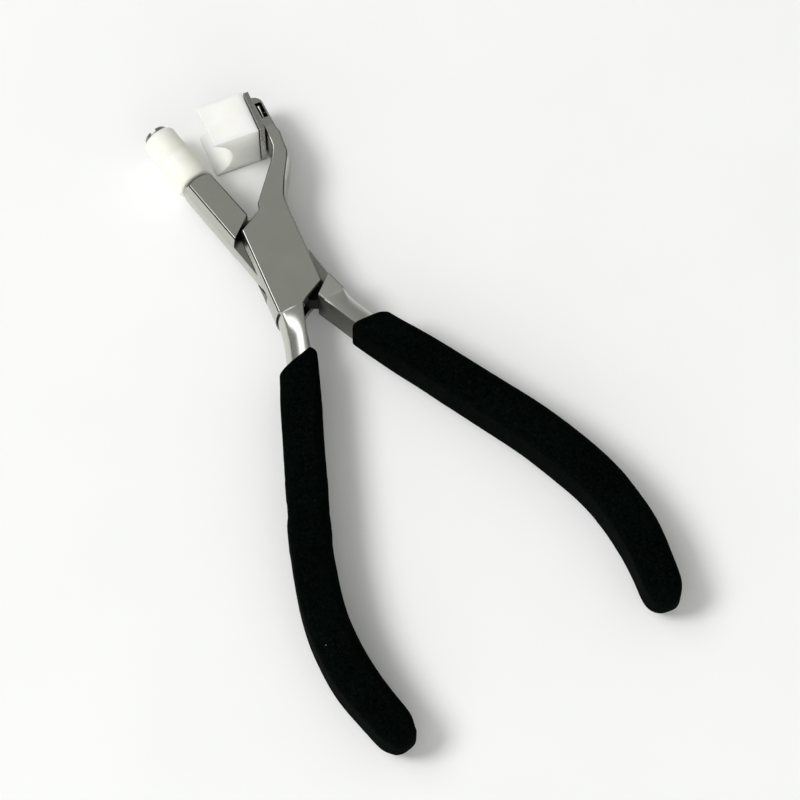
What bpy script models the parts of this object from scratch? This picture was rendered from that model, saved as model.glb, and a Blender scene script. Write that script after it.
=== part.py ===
"""Optical pliers: a nylon roller on one jaw presses into a grooved nylon block on the other.

Two forged halves cross in a box joint. The box half has the jaw with the block and the handle
at -X; the tongue half has the bar with the roller, passes through the box, and has the handle
at +X. Both are drawn closed, with their jaws along +Y, and are then turned apart about the pivot.
The origin lies on the pivot's axis, on the joint's bare upper face, with +Z up.
"""
import math

import bmesh
import bpy
from mathutils import Matrix, Vector

# The joint: thickness of the forging, and how far its bulging sides stand from the pivot
THICKNESS = 0.0080
JOINT_LEFT_REACH = 0.0061
JOINT_RIGHT_REACH = 0.0051
SHOULDER_REACH = 0.0093
SHOULDER_ANGLE = 31.5
SLOT_REACH = 0.0090
SLOT_ANGLE = 43.6
SLOT_HEIGHT = 0.0040
BOX_FLAT_LENGTH = 0.0114
TONGUE_FLAT_LENGTH = 0.0127
EDGE_CHAMFER = 0.00025
SIDE_BULGE = 0.0006

# Clearances: between parts that slide, and between parts that are fastened together
RUNNING_GAP = 0.0003
FIT_GAP = 0.00025
OVERRUN = 0.0010
MERGE_DISTANCE = 0.00001

# The pivot pin, blind under the upper face, with a countersunk head in the lower one
PIN_RADIUS = 0.0020
PIN_HEAD_RADIUS = 0.0027
PIN_SKIN = 0.0009

# How far each half stands open from the closed position
OPEN_HALF_ANGLE = 6.7

# The jaw with the block: shares of its back's standoff from the pivot line and of its length. A setback is
# measured from the jaw's tip
JAW_BACK = 0.00964
JAW_FACE = 0.0067
JAW_LENGTH = 0.0355
JAW_TIP_ROUNDING = 0.0020
JAW_TAPER_SETBACK = 0.0084
JAW_TAPER_ANGLE = 16.0
BULGE_FADE_ANGLE = 7.0
JAW_INNER_SHARES = ((0.755, 0.547), (0.833, 0.571), (0.939, 0.609), (0.99, 0.637), (1.0, 0.67))
JAW_TIP_SHARES = ((0.917, 0.90), (0.919, 0.76), (0.96, 0.704), (0.996, 0.645))
JAW_BACK_SHARES = (
    (0.996, 0.645), (0.993, 0.592), (0.965, 0.555), (0.871, 0.503), (0.726, 0.428),
    (0.647, 0.380), (0.555, 0.316), (0.531, 0.231),
)

# Corners where the box half's slanted edges meet its neck and its heel, as shares of the shoulder reach
NECK_SHARES = ((-0.094, 1.115), (-0.045, 1.288))
HEEL_SHARES = ((0.065, -1.13), (-0.038, -1.22), (-0.116, -1.43))

# The bar with the roller: its two sides' distances from the pivot line at its end and at its root
ROLLER_OFFSET = 0.0039
BAR_SETBACK = 0.01225
BAR_END_OUTER = 0.0069
BAR_END_INNER = 0.0014
BAR_ROOT_OUTER = 0.0064
BAR_ROOT_INNER = 0.00077
BAR_FACE_RADIUS = 0.0036
TONGUE_ROOT_REACH = 0.0056
TONGUE_HEEL_SHARES = ((0.01, -1.205), (0.097, -1.54))

# The nylon roller and its slotted screw
ROLLER_LENGTH = 0.0129
ROLLER_RADIUS = 0.0036
ROLLER_STEP = 0.00012
ROLLER_STEP_SHARE = 0.55
ROLLER_ROUNDING = 0.0003
ROLLER_SCREW_RADIUS = 0.00125
ROLLER_SCREW_HEAD_RADIUS = 0.0021
ROLLER_SCREW_HEAD_HEIGHT = 0.0010
ROLLER_SCREW_THREAD_LENGTH = 0.0060
SLOT_SHARE = 0.17
SLOT_DEPTH_SHARE = 0.5

# The nylon block, its groove and the plate behind it
BLOCK_SETBACK = 0.0005
BLOCK_LENGTH = 0.0093
BLOCK_DEPTH = 0.00915
BLOCK_HEIGHT = 0.0114
BLOCK_CHAMFER = 0.0004
GROOVE_RADIUS = 0.0055
GROOVE_DEPTH = 0.00355
PLATE_THICKNESS = 0.00105
PLATE_LENGTH = 0.0089

# The screw through the block, its nut in the jaw's pocket, and the two pins that stop the block turning
BLOCK_SCREW_SETBACK = 0.0040
BLOCK_SCREW_RADIUS = 0.0010
BLOCK_SCREW_HEAD_RADIUS = 0.0019
BLOCK_SCREW_HEAD_HEIGHT = 0.0013
BLOCK_SCREW_SINK = 0.0005
NUT_WIDTH = 0.0038
NUT_THICKNESS = 0.0008
NUT_WALL = 0.0005
LOCATING_PIN_RADIUS = 0.0005
LOCATING_PIN_SETBACK = 0.0071
LOCATING_PIN_SPACING = 0.0044
LOCATING_PIN_DEPTH = 0.0020
LOCATING_PIN_GRIP = 0.0012

# The handles: the root as shares of the shoulder reach, the rest as shares of their spread and length
HANDLE_SPREAD = 0.0201
HANDLE_LENGTH = 0.0989
HANDLE_ROOT_SHARES = ((0.3, -1.244),)
HANDLE_PATH_SHARES = (
    (0.264, 0.217), (0.485, 0.35), (0.69, 0.475), (0.863, 0.584),
    (0.985, 0.70), (1.003, 0.786), (0.948, 0.872), (0.762, 1.0),
)
TANG_WIDTH = 0.0048
TANG_HEIGHT = 0.0077
TANG_SHORTFALL = 0.0045

# The sleeves on the handles
GRIP_MOUTH = 0.0196
GRIP_MOUTH_SLANT = 19.0
GRIP_LENGTH = 0.0815
GRIP_WIDTH = 0.0077
GRIP_HEIGHT = 0.0107
GRIP_INNER_CORNER = 0.0022
GRIP_OUTER_CORNER = 0.0031
GRIP_END_RADIUS = 0.0042
GRIP_END_FULLNESS = 0.85
GRIP_SWELL_SHARES = (
    (0.0, 0.91), (0.15, 0.97), (0.4, 1.0), (0.6, 1.03), (0.78, 1.03), (0.92, 0.96), (1.0, 0.86),
)

# Steps along curves and round sections, the angle that reads as an edge, and the arc of a sleeve's end
SHARP_ANGLE = 30.0
GRIP_CAP_ANGLE = 80.0
PATH_STEPS = 12
SWEEP_COUNT = 24
CORNER_STEPS = 5
SIDE_STEPS = 6
SECTION_STEPS = 12
ROUND_COUNT = 32
SMALL_ROUND_COUNT = 20


def clear_scene():
    for item in list(bpy.data.objects):
        bpy.data.objects.remove(item)


def make_collection(name):
    collection = bpy.data.collections.new(name)
    bpy.context.scene.collection.children.link(collection)
    return collection


def make_material(name, colour, metallic, roughness):
    material = bpy.data.materials.new(name)
    material.use_nodes = True
    shader = material.node_tree.nodes["Principled BSDF"]
    shader.inputs["Base Color"].default_value = (*colour, 1.0)
    shader.inputs["Metallic"].default_value = metallic
    shader.inputs["Roughness"].default_value = roughness
    material.diffuse_color = (*colour, 1.0)
    return material


def make_frame(name, angle):
    """An empty on the pivot's axis at mid thickness, turned by the half's share of the opening."""
    frame = bpy.data.objects.new(name, None)
    frame.location = (0, 0, -THICKNESS / 2)
    frame.rotation_euler = (0, 0, math.radians(angle))
    MODEL.objects.link(frame)
    return frame


def place(name, mesh, frame, material):
    piece = bpy.data.objects.new(name, mesh)
    piece.parent = frame
    piece.data.materials.clear()
    piece.data.materials.append(material)
    MODEL.objects.link(piece)
    return piece


def place_cutter(name, mesh, frame):
    cutter = bpy.data.objects.new(name, mesh)
    cutter.parent = frame
    cutter.hide_render = True
    cutter.display_type = "WIRE"
    CUTTERS.objects.link(cutter)
    return cutter


def combine(piece, operation, other):
    modifier = piece.modifiers.new(operation.lower() + " " + other.name, "BOOLEAN")
    modifier.operation = operation
    modifier.object = other
    modifier.solver = "EXACT"


def shade(mesh):
    mesh.shade_smooth()
    mesh.set_sharp_from_angle(angle=math.radians(SHARP_ANGLE))


def box_mesh(name, size, centre, turn=0.0):
    """A box of full sizes, turned about Z by degrees and moved to its centre."""
    mesh = bpy.data.meshes.new(name)
    shape = bmesh.new()
    bmesh.ops.create_cube(shape, size=1.0)
    matrix = Matrix.Translation(centre) @ Matrix.Rotation(math.radians(turn), 4, "Z")
    bmesh.ops.transform(shape, matrix=matrix @ Matrix.Diagonal((*size, 1.0)), verts=shape.verts)
    shape.to_mesh(mesh)
    shape.free()
    return mesh


def evaluated_mesh(item):
    """The item's finished surface as one closed mesh facing out, with the item removed."""
    bpy.context.view_layer.update()
    depsgraph = bpy.context.evaluated_depsgraph_get()
    mesh = bpy.data.meshes.new_from_object(item.evaluated_get(depsgraph))
    shape = bmesh.new()
    shape.from_mesh(mesh)
    bmesh.ops.remove_doubles(shape, verts=shape.verts, dist=MERGE_DISTANCE)
    bmesh.ops.recalc_face_normals(shape, faces=shape.faces)
    shape.to_mesh(mesh)
    shape.free()
    shade(mesh)
    bpy.data.objects.remove(item)
    return mesh


def turned_mesh(name, profile, axis, start, count):
    """A solid of revolution: (radius, distance) rows up an axis from its start point."""
    rows = [(0, profile[-1][1])] + list(reversed(profile)) + [(0, profile[0][1])]
    line = bpy.data.meshes.new(name + " profile")
    links = [(index, index + 1) for index in range(len(rows) - 1)]
    line.from_pydata([(radius, 0, distance) for radius, distance in rows], links, [])
    item = bpy.data.objects.new(name, line)
    CUTTERS.objects.link(item)
    screw = item.modifiers.new("turn", "SCREW")
    screw.steps = count
    screw.render_steps = count
    screw.use_merge_vertices = True
    screw.merge_threshold = MERGE_DISTANCE
    mesh = evaluated_mesh(item)
    turn = Vector((0, 0, 1)).rotation_difference(axis).to_matrix().to_4x4()
    mesh.transform(Matrix.Translation(start) @ turn)
    return mesh


def curve_object(name, points, closed, radii=None):
    curve = bpy.data.curves.new(name, "CURVE")
    curve.dimensions = "2D"
    spline = curve.splines.new("POLY")
    spline.points.add(len(points) - 1)
    for index, point in enumerate(points):
        spline.points[index].co = (point[0], point[1], 0, 1)
        spline.points[index].radius = radii[index] if radii else 1.0
    spline.use_cyclic_u = closed
    item = bpy.data.objects.new(name, curve)
    CUTTERS.objects.link(item)
    return item


def outline_mesh(name, outline, thickness, chamfer=0.0):
    """A flat outline extruded about z = 0, with its rims chamfered inside the outline."""
    item = curve_object(name, outline, True)
    item.data.fill_mode = "BOTH"
    item.data.extrude = thickness / 2 - chamfer
    item.data.bevel_depth = chamfer
    item.data.bevel_resolution = 0
    item.data.offset = -chamfer
    return evaluated_mesh(item)


def sweep_mesh(name, path, section, radii=None):
    """A section carried along a flat path; the section's +x lies to the right of the way it goes."""
    profile = curve_object(name + " section", section, True)
    item = curve_object(name, path, False, radii)
    item.data.bevel_mode = "OBJECT"
    item.data.bevel_object = profile
    item.data.use_fill_caps = True
    mesh = evaluated_mesh(item)
    bpy.data.objects.remove(profile)
    return mesh


def smooth_line(points, steps=PATH_STEPS):
    """A Catmull-Rom curve through the points."""
    knots = [Vector(point) for point in points]
    knots = [2 * knots[0] - knots[1]] + knots + [2 * knots[-1] - knots[-2]]
    line = []
    for before, start, end, after in zip(knots, knots[1:], knots[2:], knots[3:]):
        for step in range(steps):
            t = step / steps
            line.append(
                0.5 * (2 * start + (end - before) * t
                       + (2 * before - 5 * start + 4 * end - after) * t ** 2
                       + (3 * start - before - 3 * end + after) * t ** 3)
            )
    line.append(knots[-2])
    return line


def scaled(shares, width, length):
    return [(across * width, along * length) for across, along in shares]


def line_length(line):
    return sum((end - start).length for start, end in zip(line, line[1:]))


def point_along(line, distance):
    """The point at a distance along a line, also a little past its ends."""
    for start, end in zip(line, line[1:]):
        step = (end - start).length
        if distance <= step or end is line[-1]:
            return start + (end - start) * (distance / step)
        distance -= step


def handle_line():
    """The handle's centreline at +X, from the joint to the handle's end."""
    points = scaled(HANDLE_ROOT_SHARES, SHOULDER_REACH, SHOULDER_REACH)
    points += scaled(HANDLE_PATH_SHARES, HANDLE_SPREAD, -HANDLE_LENGTH)
    return smooth_line(points)


def handle_points(side, distances):
    line = handle_line()
    found = [point_along(line, distance) for distance in distances]
    return [(side * point.x, point.y) for point in found]


def evenly(start, end, count):
    return [start + (end - start) * step / count for step in range(count + 1)]


def arc_points(centre, radius, start, end, steps):
    angles = [math.radians(angle) for angle in evenly(start, end, steps)]
    return [(centre[0] + radius * math.cos(a), centre[1] + radius * math.sin(a)) for a in angles]


def grip_section(side):
    """A rounded rectangle with its fuller corners on the handle's outer side."""
    outline = []
    for turn, (across, up) in enumerate(((1, 1), (-1, 1), (-1, -1), (1, -1))):
        radius = GRIP_INNER_CORNER if across == side else GRIP_OUTER_CORNER
        centre = (across * (GRIP_WIDTH / 2 - radius), up * (GRIP_HEIGHT / 2 - radius))
        outline += arc_points(centre, radius, 90 * turn, 90 * turn + 90, CORNER_STEPS)
    return outline


def tang_section(side, gap=0.0):
    """Half an ellipse: flat on the handle's inner side, and bulging to its outer side."""
    inner = -TANG_WIDTH / 2 - gap
    bulge = TANG_WIDTH + 2 * gap
    half_height = TANG_HEIGHT / 2 + gap
    outline = []
    for angle in evenly(-90, 90, SECTION_STEPS):
        turn = math.radians(angle)
        outline.append((-side * (inner + bulge * math.cos(turn)), half_height * math.sin(turn)))
    return outline


def on_shoulder(across, reach):
    """Where a slanted joint edge at a reach from the pivot crosses a given x."""
    slope = math.radians(SHOULDER_ANGLE)
    return (across, (reach + across * math.sin(slope)) / math.cos(slope))


def tongue_reach():
    return SHOULDER_REACH + RUNNING_GAP


def tongue_height():
    return SLOT_HEIGHT - 2 * RUNNING_GAP


def slot_edge(across, reach):
    """The y where a slanted slot edge at a reach from the pivot crosses a given x."""
    turn = math.radians(SLOT_ANGLE)
    return (reach - across * math.cos(turn)) / math.sin(turn)


def bar_length():
    return JAW_LENGTH - BAR_SETBACK


def jaw_back():
    """The jaw's outer side, from its widest place to the joint."""
    return smooth_line(scaled(JAW_BACK_SHARES, JAW_BACK, JAW_LENGTH), CORNER_STEPS)


def box_outline():
    """The box half seen from above: cheeks, neck and jaw."""
    left = -JOINT_LEFT_REACH
    neck = scaled(NECK_SHARES, SHOULDER_REACH, SHOULDER_REACH)
    heel = scaled(HEEL_SHARES, SHOULDER_REACH, SHOULDER_REACH)
    inner = scaled(JAW_INNER_SHARES, JAW_FACE, JAW_LENGTH)
    tip = scaled(JAW_TIP_SHARES, JAW_BACK, JAW_LENGTH)
    tip_centre = (tip[0][0] - JAW_TIP_ROUNDING, JAW_LENGTH - JAW_TIP_ROUNDING)
    back = smooth_line(tip, CORNER_STEPS)[:-1] + jaw_back()
    cheek_end = on_shoulder(JOINT_RIGHT_REACH, -SHOULDER_REACH)
    outline = [(left, -BOX_FLAT_LENGTH), on_shoulder(left, SHOULDER_REACH)]
    outline += neck + inner + [(JAW_FACE, JAW_LENGTH)]
    outline += arc_points(tip_centre, JAW_TIP_ROUNDING, 90, 0, CORNER_STEPS)
    outline += [tuple(point) for point in back]
    outline += [cheek_end] + heel
    return outline


def box_sides():
    """The bulging sides of the box half's joint, each with its outer side on the right."""
    left = -JOINT_LEFT_REACH
    right = [(JOINT_RIGHT_REACH, -SHOULDER_REACH - OVERRUN)]
    right += [tuple(point) for point in reversed(jaw_back())]
    fade = math.radians(BULGE_FADE_ANGLE)
    widest = right[-1]
    length = JAW_LENGTH - widest[1]
    right.append((widest[0] + length * math.sin(fade), widest[1] + length * math.cos(fade)))
    return [(left, SHOULDER_REACH), (left, -BOX_FLAT_LENGTH - OVERRUN)], right


def tongue_sides():
    """The bulging sides of the tongue half, each with its outer side on the right."""
    web_end = slot_edge(-JOINT_LEFT_REACH, -SLOT_REACH + RUNNING_GAP)
    left = [
        (-BAR_END_OUTER, bar_length()),
        on_shoulder(-BAR_ROOT_OUTER, tongue_reach()),
        (-JOINT_LEFT_REACH, web_end),
    ]
    right = [
        (TONGUE_ROOT_REACH, -TONGUE_FLAT_LENGTH),
        on_shoulder(JOINT_RIGHT_REACH, -tongue_reach()),
        (JOINT_RIGHT_REACH, slot_edge(JOINT_RIGHT_REACH, SLOT_REACH - RUNNING_GAP)),
    ]
    return left, right


def tongue_outline():
    """The tongue half seen from above: bar, tongue and handle root."""
    left, right = tongue_sides()
    outline = [(-BAR_END_INNER, bar_length()), on_shoulder(-BAR_ROOT_INNER, tongue_reach())]
    outline += list(reversed(right))
    outline += list(reversed(scaled(TONGUE_HEEL_SHARES, SHOULDER_REACH, SHOULDER_REACH)))
    outline += list(reversed(left))
    return outline


def side_section():
    """The space outside a bulging side and its two chamfers, open to +x."""
    reach = THICKNESS / 2 - EDGE_CHAMFER
    radius = (reach ** 2 + SIDE_BULGE ** 2) / (2 * SIDE_BULGE)
    side = []
    for height in evenly(reach, -reach, SIDE_STEPS):
        side.append((math.sqrt(radius ** 2 - height ** 2) - radius, height))
    corner = -SIDE_BULGE - EDGE_CHAMFER - OVERRUN
    rim = THICKNESS / 2 + OVERRUN
    return [(OVERRUN, rim), (corner, rim)] + side + [(corner, -rim), (OVERRUN, -rim)]


def cut_side(piece, frame, name, side):
    """Rounds one side of a forging along a line, and a little past the line's ends."""
    line = [Vector(point) for point in side]
    before = point_along(line[:2], -OVERRUN)
    after = point_along(line[-2:], (line[-1] - line[-2]).length + OVERRUN)
    mesh = sweep_mesh(name, [before] + line[1:-1] + [after], side_section())
    combine(piece, "DIFFERENCE", place_cutter(name, mesh, frame))


def make_tang(name, frame, side):
    """The handle's steel core, to be joined to its half's joint."""
    length = line_length(handle_line())
    distances = evenly(0, length - TANG_SHORTFALL, SWEEP_COUNT)
    mesh = sweep_mesh(name, handle_points(side, distances), tang_section(side))
    return place_cutter(name, mesh, frame)


def cut_taper(piece, frame):
    """The jaw's tip thins toward its end on both faces."""
    reach = JAW_LENGTH
    for side in (1, -1):
        name = "taper above" if side > 0 else "taper below"
        mesh = box_mesh(name, (2 * JAW_BACK, reach, reach), (0, reach / 2, side * reach / 2))
        cutter = place_cutter(name, mesh, frame)
        cutter.location = (JAW_BACK, JAW_LENGTH - JAW_TAPER_SETBACK, side * THICKNESS / 2)
        cutter.rotation_euler = (math.radians(-side * JAW_TAPER_ANGLE), 0, 0)
        combine(piece, "DIFFERENCE", cutter)


def pocket_start():
    return JAW_FACE + NUT_WALL


def block_screw_place():
    return JAW_LENGTH - BLOCK_SCREW_SETBACK


def locating_pin_place():
    return JAW_LENGTH - LOCATING_PIN_SETBACK


def make_box_half(frame):
    """Jaw, slotted cheeks and the handle at -X, in one forging."""
    mesh = outline_mesh("box half", box_outline(), THICKNESS, EDGE_CHAMFER)
    half = place("box_half", mesh, frame, STEEL)
    for name, side in zip(("box left side", "box right side"), box_sides()):
        cut_side(half, frame, name, side)
    combine(half, "UNION", make_tang("box tang", frame, -1))
    slot_size = (2 * JAW_LENGTH, 2 * SLOT_REACH, SLOT_HEIGHT)
    slot = box_mesh("box slot", slot_size, (0, 0, 0), SLOT_ANGLE - 90)
    combine(half, "DIFFERENCE", place_cutter("box slot", slot, frame))
    bore = turned_mesh("pin bore", pin_profile(FIT_GAP), Vector((0, 0, 1)), (0, 0, 0), ROUND_COUNT)
    combine(half, "DIFFERENCE", place_cutter("pin bore", bore, frame))
    cut_taper(half, frame)
    pocket_depth = NUT_THICKNESS + 2 * FIT_GAP
    pocket_size = (pocket_depth, NUT_WIDTH + 2 * FIT_GAP, THICKNESS)
    pocket_base = -NUT_WIDTH / 2 - FIT_GAP
    pocket_middle = pocket_start() + pocket_depth / 2
    pocket_centre = (pocket_middle, block_screw_place(), pocket_base + THICKNESS / 2)
    pocket = box_mesh("nut pocket", pocket_size, pocket_centre)
    combine(half, "DIFFERENCE", place_cutter("nut pocket", pocket, frame))
    start = JAW_FACE - OVERRUN
    hole_end = pocket_start() + FIT_GAP
    drill(half, frame, "jaw hole", BLOCK_SCREW_RADIUS, block_screw_place(), 0, start, hole_end)
    drill_for_pins(half, frame, start, JAW_FACE + LOCATING_PIN_GRIP)
    return half


def drill(piece, frame, name, radius, place_along, height, start, end):
    """A clearance hole along X, from one x to a gap past another."""
    rows = [(radius + FIT_GAP, start), (radius + FIT_GAP, end + FIT_GAP)]
    mesh = turned_mesh(name, rows, Vector((1, 0, 0)), (0, place_along, height), SMALL_ROUND_COUNT)
    combine(piece, "DIFFERENCE", place_cutter(name, mesh, frame))


def drill_for_pins(piece, frame, start, end):
    """Clearance holes for both locating pins."""
    for pin, height in locating_pin_heights():
        name = piece.name + " " + pin
        drill(piece, frame, name, LOCATING_PIN_RADIUS, locating_pin_place(), height, start, end)


def make_tongue_half(frame):
    """Bar, tongue and the handle at +X, in one forging."""
    mesh = outline_mesh("tongue half", tongue_outline(), THICKNESS, EDGE_CHAMFER)
    half = place("tongue_half", mesh, frame, STEEL)
    for name, side in zip(("tongue left side", "tongue right side"), tongue_sides()):
        cut_side(half, frame, name, side)
    combine(half, "UNION", make_tang("tongue tang", frame, 1))
    relief_height = THICKNESS / 2
    relief_size = (2 * JAW_LENGTH, 2 * tongue_reach(), relief_height)
    for name, side in (("relief above", 1), ("relief below", -1)):
        centre = (0, 0, side * (tongue_height() / 2 + relief_height / 2))
        relief = box_mesh(name, relief_size, centre, SHOULDER_ANGLE)
        combine(half, "DIFFERENCE", place_cutter(name, relief, frame))
    reach = JAW_LENGTH + HANDLE_LENGTH + HANDLE_SPREAD
    rows = [(BAR_FACE_RADIUS + reach, bar_length() - reach), (BAR_FACE_RADIUS, bar_length())]
    cone = turned_mesh("bar cone", rows, Vector((0, 1, 0)), (-ROLLER_OFFSET, 0, 0), 2 * ROUND_COUNT)
    combine(half, "INTERSECT", place_cutter("bar cone", cone, frame))
    hole_radius = ROLLER_SCREW_RADIUS + FIT_GAP
    hole_end = bar_length() - ROLLER_SCREW_THREAD_LENGTH - FIT_GAP
    rows = [(hole_radius, hole_end), (hole_radius, bar_length() + OVERRUN)]
    hole = turned_mesh("bar hole", rows, Vector((0, 1, 0)), (-ROLLER_OFFSET, 0, 0), SMALL_ROUND_COUNT)
    combine(half, "DIFFERENCE", place_cutter("bar hole", hole, frame))
    half_height = tongue_height() / 2 + OVERRUN
    rows = [(PIN_RADIUS + FIT_GAP, -half_height), (PIN_RADIUS + FIT_GAP, half_height)]
    eye = turned_mesh("tongue eye", rows, Vector((0, 0, 1)), (0, 0, 0), ROUND_COUNT)
    combine(half, "DIFFERENCE", place_cutter("tongue eye", eye, frame))
    return half


def pin_profile(gap):
    """The pivot pin from its countersunk head in the lower face to its blind end, or its bore."""
    bottom = -THICKNESS / 2
    top = THICKNESS / 2 - PIN_SKIN
    head = PIN_HEAD_RADIUS - PIN_RADIUS
    if gap:
        rows = [(PIN_HEAD_RADIUS + gap, bottom - OVERRUN), (PIN_HEAD_RADIUS + gap, bottom + gap)]
        return rows + [(PIN_RADIUS + gap, bottom + head + gap), (PIN_RADIUS + gap, top)]
    rows = [(PIN_HEAD_RADIUS, bottom), (PIN_HEAD_RADIUS, bottom + FIT_GAP)]
    return rows + [(PIN_RADIUS, bottom + FIT_GAP + head), (PIN_RADIUS, top - FIT_GAP)]


def make_pivot_pin(frame):
    mesh = turned_mesh("pivot pin", pin_profile(0), Vector((0, 0, 1)), (0, 0, 0), ROUND_COUNT)
    return place("pivot_pin", mesh, frame, STEEL)


def roller_start():
    return bar_length() + FIT_GAP


def make_roller(frame):
    """The nylon roller, a hair thinner past its faint step, with its bore."""
    near = roller_start()
    step = near + ROLLER_LENGTH * ROLLER_STEP_SHARE
    far = near + ROLLER_LENGTH
    thin = ROLLER_RADIUS - ROLLER_STEP
    rows = [
        (ROLLER_RADIUS - ROLLER_ROUNDING, near),
        (ROLLER_RADIUS, near + ROLLER_ROUNDING),
        (ROLLER_RADIUS, step - ROLLER_STEP / 2),
        (thin, step + ROLLER_STEP / 2),
        (thin, far - ROLLER_ROUNDING),
        (thin - ROLLER_ROUNDING, far),
    ]
    mesh = turned_mesh("roller", rows, Vector((0, 1, 0)), (-ROLLER_OFFSET, 0, 0), ROUND_COUNT)
    roller = place("nylon_roller", mesh, frame, NYLON)
    bore_radius = ROLLER_SCREW_RADIUS + FIT_GAP
    rows = [(bore_radius, near - OVERRUN), (bore_radius, far + OVERRUN)]
    bore = turned_mesh("roller bore", rows, Vector((0, 1, 0)), (-ROLLER_OFFSET, 0, 0), SMALL_ROUND_COUNT)
    combine(roller, "DIFFERENCE", place_cutter("roller bore", bore, frame))
    return roller


def make_roller_screw(frame):
    """A slotted cheese-head screw through the roller into the bar."""
    head = roller_start() + ROLLER_LENGTH + FIT_GAP
    top = head + ROLLER_SCREW_HEAD_HEIGHT
    rows = [
        (ROLLER_SCREW_RADIUS, bar_length() - ROLLER_SCREW_THREAD_LENGTH),
        (ROLLER_SCREW_RADIUS, head),
        (ROLLER_SCREW_HEAD_RADIUS, head),
        (ROLLER_SCREW_HEAD_RADIUS, top),
    ]
    mesh = turned_mesh("roller screw", rows, Vector((0, 1, 0)), (-ROLLER_OFFSET, 0, 0), SMALL_ROUND_COUNT)
    screw = place("roller_screw", mesh, frame, STEEL)
    depth = ROLLER_SCREW_HEAD_HEIGHT * SLOT_DEPTH_SHARE
    width = 2 * ROLLER_SCREW_HEAD_RADIUS * SLOT_SHARE
    length = 2 * ROLLER_SCREW_HEAD_RADIUS + 2 * OVERRUN
    slot = box_mesh("roller screw slot", (length, 2 * depth, width), (-ROLLER_OFFSET, top, 0))
    combine(screw, "DIFFERENCE", place_cutter("roller screw slot", slot, frame))
    return screw


def plate_back():
    return JAW_FACE - FIT_GAP


def block_start():
    return JAW_LENGTH - BLOCK_SETBACK - BLOCK_LENGTH


def plate_front():
    return plate_back() - PLATE_THICKNESS


def block_back():
    return plate_front() - FIT_GAP


def block_front():
    return block_back() - BLOCK_DEPTH


def locating_pin_heights():
    above = LOCATING_PIN_SPACING / 2
    return ("upper_locating_pin", above), ("lower_locating_pin", -above)


def make_plate(frame):
    """The steel plate between the jaw and the block."""
    size = (PLATE_THICKNESS, PLATE_LENGTH, BLOCK_HEIGHT)
    centre = (plate_back() - PLATE_THICKNESS / 2, block_start() + PLATE_LENGTH / 2, 0)
    plate = place("back_plate", box_mesh("back plate", size, centre), frame, STEEL)
    start = plate_front() - OVERRUN
    drill(plate, frame, "plate hole", BLOCK_SCREW_RADIUS, block_screw_place(), 0, start, JAW_FACE)
    drill_for_pins(plate, frame, start, JAW_FACE)
    return plate


def make_block(frame):
    """The nylon block with the half-round groove that faces the roller."""
    size = (BLOCK_DEPTH, BLOCK_LENGTH, BLOCK_HEIGHT)
    centre = (block_back() - BLOCK_DEPTH / 2, block_start() + BLOCK_LENGTH / 2, 0)
    mesh = box_mesh("nylon block", size, centre)
    shape = bmesh.new()
    shape.from_mesh(mesh)
    bmesh.ops.bevel(shape, geom=shape.edges, offset=BLOCK_CHAMFER, segments=1, affect="EDGES")
    shape.to_mesh(mesh)
    shape.free()
    block = place("nylon_block", mesh, frame, NYLON)
    groove_bottom = block_front() + GROOVE_DEPTH
    axis_start = (groove_bottom - GROOVE_RADIUS, block_start(), 0)
    rows = [(GROOVE_RADIUS, -OVERRUN), (GROOVE_RADIUS, BLOCK_LENGTH + OVERRUN)]
    groove = turned_mesh("groove", rows, Vector((0, 1, 0)), axis_start, 2 * ROUND_COUNT)
    combine(block, "DIFFERENCE", place_cutter("groove", groove, frame))
    start = block_front()
    end = block_back() + OVERRUN
    drill(block, frame, "block hole", BLOCK_SCREW_RADIUS, block_screw_place(), 0, start, end)
    sink_end = groove_bottom + BLOCK_SCREW_SINK + BLOCK_SCREW_HEAD_HEIGHT
    head = BLOCK_SCREW_HEAD_RADIUS
    drill(block, frame, "block counterbore", head, block_screw_place(), 0, start, sink_end)
    socket_start = block_back() - LOCATING_PIN_DEPTH - 2 * FIT_GAP
    drill_for_pins(block, frame, socket_start, end)
    return block


def make_block_screw(frame):
    """The slotted screw sunk in the groove, through block, plate and jaw wall into the nut."""
    head = block_front() + GROOVE_DEPTH + BLOCK_SCREW_SINK
    shoulder = head + BLOCK_SCREW_HEAD_HEIGHT
    tip = pocket_start() + NUT_THICKNESS + FIT_GAP
    rows = [
        (BLOCK_SCREW_HEAD_RADIUS, head),
        (BLOCK_SCREW_HEAD_RADIUS, shoulder),
        (BLOCK_SCREW_RADIUS, shoulder),
        (BLOCK_SCREW_RADIUS, tip),
    ]
    start = (0, block_screw_place(), 0)
    mesh = turned_mesh("block screw", rows, Vector((1, 0, 0)), start, SMALL_ROUND_COUNT)
    screw = place("block_screw", mesh, frame, STEEL)
    depth = BLOCK_SCREW_HEAD_HEIGHT * SLOT_DEPTH_SHARE
    width = 2 * BLOCK_SCREW_HEAD_RADIUS * SLOT_SHARE
    length = 2 * BLOCK_SCREW_HEAD_RADIUS + 2 * OVERRUN
    slot = box_mesh("block screw slot", (2 * depth, width, length), (head, block_screw_place(), 0))
    combine(screw, "DIFFERENCE", place_cutter("block screw slot", slot, frame))
    return screw


def make_block_nut(frame):
    """The square nut that drops into the jaw's pocket from above."""
    start = pocket_start() + FIT_GAP
    size = (NUT_THICKNESS, NUT_WIDTH, NUT_WIDTH)
    mesh = box_mesh("block nut", size, (start + NUT_THICKNESS / 2, block_screw_place(), 0))
    nut = place("block_nut", mesh, frame, STEEL)
    end = start + NUT_THICKNESS + OVERRUN
    drill(nut, frame, "nut thread", BLOCK_SCREW_RADIUS, block_screw_place(), 0, start - OVERRUN, end)
    return nut


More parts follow.
